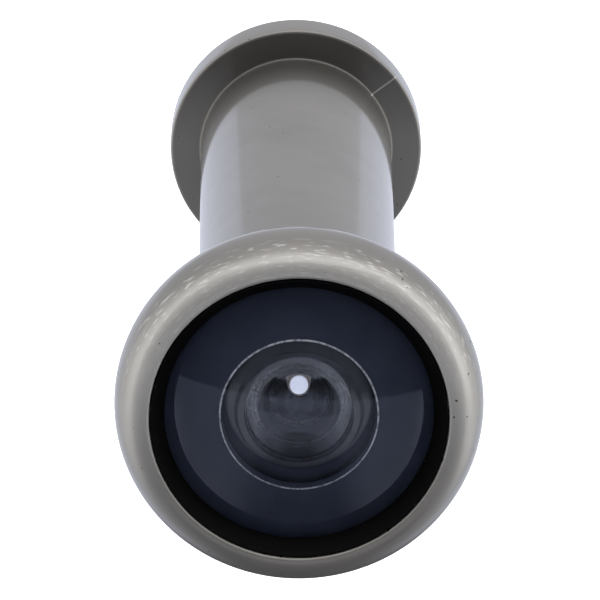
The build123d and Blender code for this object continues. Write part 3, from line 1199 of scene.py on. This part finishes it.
@dataclass
class LensCell:
    """Moulded cell with what it carries: two lenses, their spacer and the lock ring."""

    bore: float = 4.1
    barrel: float = 4.45
    nose_chamfer: float = 0.3
    lip_radius: float = 3.8
    lip_thickness: float = 0.4
    boss_radius: float = 8.3
    boss_depth: float = 1.05
    flange_thickness: float = 1.2
    lens_radius: float = 4.05
    spacer_bore: float = 3.8
    lock_bore: float = 3.85
    node: Extent = field(default_factory=lambda: Extent.of("lens_cell"))

    def build(self) -> list[bpy.types.Object]:
        """Builds the cell, its lenses and rings.

        Returns:
            The objects.
        """
        second = SmallLens("second_lens_ground", "second_lens", -9.5, 5.26, thickness=0.8)
        third = SmallLens("third_lens_ground", "third_lens", -5.27, -4.17, thickness=1.61)
        spacer = PlainRing(
            "lens_spacer_moulding",
            "lens_spacer",
            self.spacer_bore,
            self.lens_radius,
            MouldedPlastic(),
            Slot.CELL,
        )
        lock = PlainRing(
            "lock_ring_turned",
            "cell_lock_ring",
            self.lock_bore,
            self.lens_radius,
            TurnedBrass(),
            Slot.BRASS,
        )
        return [self.cell(), *(piece.build() for piece in (second, third, spacer, lock))]

    def cell(self) -> bpy.types.Object:
        """Turns the cell itself.

        Returns:
            The object.
        """
        front, back, flange = self.node.front, self.node.back, self.node.radius
        boss_front = Extent.of("objective_lens").back + FIT
        flange_front = boss_front + self.boss_depth
        flange_back = flange_front + self.flange_thickness
        section = Section(self.lip_radius, front).line(
            (self.barrel - self.nose_chamfer, front),
            (self.barrel, front + self.nose_chamfer),
            (self.barrel, boss_front),
            (self.boss_radius, boss_front),
            (self.boss_radius, flange_front),
            (flange, flange_front),
            (flange, flange_back),
            (self.barrel, flange_back),
            (self.barrel, back),
            (self.bore, back),
            (self.bore, front + self.lip_thickness),
            (self.lip_radius, front + self.lip_thickness),
        )
        return Piece(
            "lens_cell_moulding",
            section.turned(),
            [MouldedPlastic()],
            Slot.CELL,
            Body.FRONT,
            ("lens_cell",),
        ).place()


@dataclass
class SealRing:
    """Rubber O-ring."""

    name: str
    node_name: str
    section_diameter: float
    body: Body
    finish: Finish
    slot: Slot
    sides: int = 16
    segments: int = 96

    def build(self) -> bpy.types.Object:
        """Turns the O-ring.

        Returns:
            The object.
        """
        node = Extent.of(self.node_name)
        half = self.section_diameter / 2
        centre = (node.radius - half, (node.front + node.back) / 2)
        gap = 4 * QUARTER / self.sides
        section = Section(node.radius, centre[1]).arc(centre, 4 * QUARTER - gap, self.sides - 1)
        return Piece(
            self.name,
            section.turned(self.segments),
            [self.finish],
            self.slot,
            self.body,
            (self.node_name,),
        ).place()


@dataclass
class Sleeve:
    """Smooth sleeve with the inner flange, threaded inside its free end."""

    sleeve_radius: float = 7.0
    bore: float = 6.05
    thread_crest_radius: float = 5.45
    thread_base: float = 0.84
    thread_crest: float = 0.15
    thread_start: float = 1.0
    thread_length: float = 12.0
    end_chamfer: float = 0.35
    root_fillet: float = 0.2
    flange_thickness: float = 3.1
    front_rounding: float = 0.25
    rear_rounding: float = 0.8
    eye_seat: float = 5.85
    eye_opening: float = 5.0
    shoulder: float = 0.8
    coin_slot: Pair = (1.7, 1.1)
    slot_overrun: float = 1.0
    node: Extent = field(default_factory=lambda: Extent.of("rear_body"))

    def build(self) -> bpy.types.Object:
        """Turns the casting, winds its thread and cuts the coin slots.

        Returns:
            The object.
        """
        end, back, flange = self.node.front, self.node.back, self.node.radius
        face = back - self.flange_thickness
        seat = Extent.of("eyepiece_seal").front - FIT
        section = Section(self.sleeve_radius - self.end_chamfer, end).line(
            (self.sleeve_radius, end + self.end_chamfer),
            (self.sleeve_radius, face - self.root_fillet),
        )
        root = (self.sleeve_radius + self.root_fillet, face - self.root_fillet)
        section.arc(root, -QUARTER, 8)
        section.line((flange - self.front_rounding, face))
        section.arc((flange - self.front_rounding, face + self.front_rounding), QUARTER, 10)
        section.line((flange, back - self.rear_rounding))
        section.arc((flange - self.rear_rounding, back - self.rear_rounding), QUARTER, 14)
        section.line(
            (self.eye_seat, back),
            (self.eye_seat, seat),
            (self.eye_opening, seat),
            (self.eye_opening, seat - self.shoulder),
            (self.bore, seat - self.shoulder),
            (self.bore, end),
        )
        ridge = Thread(
            self.bore,
            self.thread_crest_radius,
            self.thread_base,
            self.thread_crest,
            end + self.thread_start,
            end + self.thread_length,
        )
        width, depth = self.coin_slot
        reach = flange - self.eye_seat + self.slot_overrun
        slots = [
            block((side * (self.eye_seat + reach / 2), back, 0.0), (reach, 2 * depth, width))
            for side in (1, -1)
        ]
        return Piece(
            "rear_body_casting",
            section.turned(FINE_SEGMENTS),
            [SatinNickel(), BareBore()],
            Slot.CASTING,
            Body.REAR,
            ("rear_body",),
            choose=dull_bore(self.bore, seat - self.shoulder),
            cutters=slots,
            threads=[ridge],
        ).place()


@dataclass
class Eyepiece:
    """Eyepiece lens with its seal and the ring that holds it."""

    face_radius: float = 26.0
    bevel: float = 0.15
    opening: float = 5.0
    cone: float = 0.35
    notch: float = 0.8
    seal_section: float = 0.6

    def build(self) -> list[bpy.types.Object]:
        """Builds the eyepiece.

        Returns:
            The objects.
        """
        return [
            self.lens(),
            SealRing(
                "eyepiece_seal_rubber",
                "eyepiece_seal",
                self.seal_section,
                Body.EYEPIECE,
                PaleSilicone(),
                Slot.SILICONE,
            ).build(),
            self.ring(),
        ]

    def lens(self) -> bpy.types.Object:
        """Turns the lens, flat towards the eye.

        Returns:
            The object.
        """
        node = Extent.of("eyepiece_lens")
        edge = node.radius - self.bevel
        section = Section(0.0, node.front).face(node.front, self.face_radius, edge).line(
            (node.radius, node.front + sag(self.face_radius, edge)),
            (node.radius, node.back),
            (0.0, node.back),
        )

        def region(centre: Vector, normal: Vector) -> int:
            """Picks glass or the ground rim for a face."""
            return int(math.hypot(centre.x, centre.z) >= edge)

        return Piece(
            "eyepiece_lens_ground",
            section.turned(SEGMENTS, closed=False),
            [PolishedGlass(), GroundGlass()],
            Slot.GLASS,
            Body.EYEPIECE,
            ("eyepiece_lens",),
            choose=region,
        ).place()

    def ring(self) -> bpy.types.Object:
        """Turns the ring and cuts its spanner notches.

        Returns:
            The object.
        """
        node = Extent.of("eyepiece_ring")
        section = Section(self.opening, node.front).line(
            (node.radius, node.front),
            (node.radius, node.back),
            (self.opening + self.cone, node.back),
            (self.opening, node.back - self.cone),
        )
        notches = [
            block((0.0, node.back, side * node.radius), (self.notch, 2 * self.cone, self.notch))
            for side in (1, -1)
        ]
        return Piece(
            "eyepiece_ring_bright",
            section.turned(SEGMENTS),
            [BrightNickel()],
            Slot.BRIGHT_RING,
            Body.REAR,
            ("eyepiece_ring",),
            cutters=notches,
        ).place()


@dataclass(frozen=True)
class Softbox:
    """A soft lamp, seen as a round patch of light in one direction."""

    toward: tuple[float, float, float]
    half_angle: float
    blur: float
    colour: Colour

    def mask(self, tree: Tree, way: Socket) -> Socket:
        """Share of the lamp in each direction.

        Args:
            tree: The world's node tree.
            way: Socket with the direction.

        Returns:
            The output socket.
        """
        axis = Vector(self.toward).normalized()
        near = add(tree, Step.ALIGN, way, axis)
        outer = math.cos(math.radians(self.half_angle + self.blur))
        inner = math.cos(math.radians(max(self.half_angle - self.blur, 0.0)))
        return add(tree, Step.FADE, near, outer, inner)


@dataclass
class LightTent:
    """Plain studio: pale floor, soft light all round with a dim opening at the front."""

    low_wall: Colour = (0.84, 0.88, 1.02, 1.0)
    high_wall: Colour = (0.58, 0.59, 0.64, 1.0)
    near_paper: Colour = (0.6, 0.61, 0.66, 1.0)
    shadow: Colour = (0.08, 0.08, 0.08, 1.0)
    room: Colour = (0.1, 0.1, 0.11, 1.0)
    paper_drop: float = 0.13
    paper_slant: float = -0.07
    paper_bow: float = 0.08
    lamps: tuple[Softbox, ...] = (
        Softbox((0.0, -0.36, 0.93), 30.0, 16.0, (1.9, 1.89, 1.86, 1.0)),
        Softbox((0.72, -0.3, 0.62), 22.0, 12.0, (3.0, 2.98, 2.93, 1.0)),
        Softbox((-0.72, -0.3, 0.62), 22.0, 12.0, (2.2, 2.19, 2.14, 1.0)),
        Softbox((1.0, 0.05, -0.3), 24.0, 12.0, (1.8, 1.79, 1.77, 1.0)),
        Softbox((-1.0, 0.05, -0.3), 24.0, 12.0, (1.6, 1.59, 1.57, 1.0)),
        Softbox((1.0, -0.05, 0.25), 24.0, 12.0, (2.6, 2.59, 2.54, 1.0)),
        Softbox((-1.0, -0.05, 0.25), 24.0, 12.0, (2.0, 1.99, 1.95, 1.0)),
    )
    far_wall: Softbox = Softbox((0.0, 1.0, -0.0485), 3.2, 0.5, (0.1, 0.085, 0.08, 1.0))
    far_window: Softbox = Softbox((0.0, 1.0, -0.0485), 1.5, 0.12, (0.93, 0.96, 1.16, 1.0))
    wall_heights: Pair = (-0.34, 0.12)
    paper_ends: Pair = (-0.1, 0.3)
    paper_blur: Pair = (-0.01, 0.01)
    strip_sides: Pair = (0.5, 0.2)
    strip_heights: Pair = (-0.5, -0.65)
    opening_front: Pair = (-0.38, -0.42)
    opening_top: Pair = (0.74, 0.7)
    floor_drop: float = 60.0
    floor_size: float = 4000.0
    camera_distance: float = 600.0
    camera_drop_degrees: float = 20.96
    camera_yaw: float = 0.0041
    camera_rise: float = 8.17
    camera_shift_right: float = 0.07
    sensor: float = 36.0
    frame_pixels: float = 600.0
    focal_pixels: float = 8816.0
    clip: Pair = (10.0, 100000.0)

    def build(self) -> None:
        """Makes the floor, the light and the camera."""
        self.floor()
        self.world()
        self.camera()
        bpy.context.scene.view_settings.view_transform = "Standard"

    def floor(self) -> None:
        """Lays the floor, which only the camera sees."""
        sheet = bmesh.new()
        half = self.floor_size / 2 * MM
        bmesh.ops.create_grid(sheet, x_segments=4, y_segments=4, size=half)
        bmesh.ops.translate(sheet, verts=sheet.verts, vec=(0.0, 0.0, -self.floor_drop * MM))
        data = bpy.data.meshes.new("floor")
        sheet.to_mesh(data)
        sheet.free()
        data.materials.append(PaperSweep().material())
        made = bpy.data.objects.new("floor", data)
        bpy.context.scene.collection.objects.link(made)
        made.visible_glossy = False
        made.visible_diffuse = False
        made.visible_transmission = False

    def world(self) -> None:
        """Paints the soft light of the tent by direction."""
        world = bpy.data.worlds.new("light_tent")
        world.use_nodes = True
        tree = world.node_tree
        tree.nodes.clear()
        way = add(tree, Step.DIRECTION)
        across, ahead, up = (add(tree, step, way) for step in (Step.X, Step.Y, Step.Z))
        sky = add(tree, Step.FADE, up, *self.wall_heights)
        light = add(tree, Step.BLEND, sky, self.low_wall, self.high_wall)
        far = add(tree, Step.FADE, ahead, *self.paper_ends)
        paper = add(tree, Step.BLEND, far, self.near_paper, self.low_wall)
        edge = self.edge_of_paper(tree, across, ahead, up)
        light = add(tree, Step.BLEND, add(tree, Step.FADE, edge, *self.paper_blur), light, paper)
        strip = overlap(
            tree,
            add(tree, Step.FADE, add(tree, Step.UNSIGNED, across), *self.strip_sides),
            add(tree, Step.FADE, up, *self.strip_heights),
        )
        light = add(tree, Step.BLEND, strip, light, self.shadow)
        for lamp in self.lamps:
            light = add(tree, Step.BLEND, lamp.mask(tree, way), light, lamp.colour)
        opening = overlap(
            tree,
            add(tree, Step.FADE, ahead, *self.opening_front),
            add(tree, Step.FADE, up, *self.opening_top),
            add(tree, Step.FADE, edge, *reversed(self.paper_blur)),
        )
        light = add(tree, Step.BLEND, opening, light, self.room)
        for patch in (self.far_wall, self.far_window):
            light = add(tree, Step.BLEND, patch.mask(tree, way), light, patch.colour)
        output = tree.nodes.new("ShaderNodeOutputWorld")
        tree.links.new(add(tree, Step.SHINE, light, 1.0), output.inputs["Surface"])
        bpy.context.scene.world = world

    def edge_of_paper(
        self, tree: Tree, across: Socket, ahead: Socket, up: Socket
    ) -> Socket:
        """Where the paper on the table ends, as a socket that is positive on the paper.

        The paper's front edge is a little nearer on the right, and falls away to both sides, so
        that its mirror image in the lens slopes down there.

        Args:
            tree: The world's node tree.
            across: The direction's part to the right.
            ahead: The direction's part towards the room.
            up: The direction's part upwards.

        Returns:
            The output socket.
        """
        slope = add(tree, Step.TIMES, across, self.paper_slant)
        level = add(tree, Step.PLUS, add(tree, Step.TIMES, ahead, self.paper_drop), slope)
        bow = add(tree, Step.TIMES, add(tree, Step.TIMES, across, across), self.paper_bow)
        return add(tree, Step.MINUS, add(tree, Step.MINUS, level, bow), up)

    def camera(self) -> None:
        """Sets the camera at the photograph's angle, in front and a little above."""
        drop = math.radians(self.camera_drop_degrees)
        forward = Vector((self.camera_yaw, math.cos(drop), -math.sin(drop))).normalized()
        up = Vector((0.0, math.sin(drop), math.cos(drop)))
        lip = Vector((0.0, Extent.of("front_body").front, 0.0))
        eye = lip - forward * self.camera_distance + up * self.camera_rise
        eye.x += self.camera_shift_right
        data = bpy.data.cameras.new("photo_camera")
        data.sensor_width = self.sensor
        data.lens = self.sensor * self.focal_pixels / self.frame_pixels
        data.clip_start, data.clip_end = (distance * MM for distance in self.clip)
        made = bpy.data.objects.new("photo_camera", data)
        made.location = eye * MM
        made.rotation_mode = "QUATERNION"
        made.rotation_quaternion = forward.to_track_quat("-Z", "Y")
        bpy.context.scene.collection.objects.link(made)
        bpy.context.scene.camera = made


def main() -> None:
    """Builds the viewer from its front to its back, then the studio."""
    logging.basicConfig(level=logging.INFO, format="%(name)s: %(message)s")
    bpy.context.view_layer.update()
    Bezel().build()
    LensRing().build()
    ObjectiveLens().build()
    SealRing(
        "objective_seal_rubber", "objective_seal", 1.0, Body.FRONT, NitrileRubber(), Slot.RUBBER
    ).build()
    LensCell().build()
    Sleeve().build()
    Eyepiece().build()
    LightTent().build()


if __name__ == "__main__":
    main()
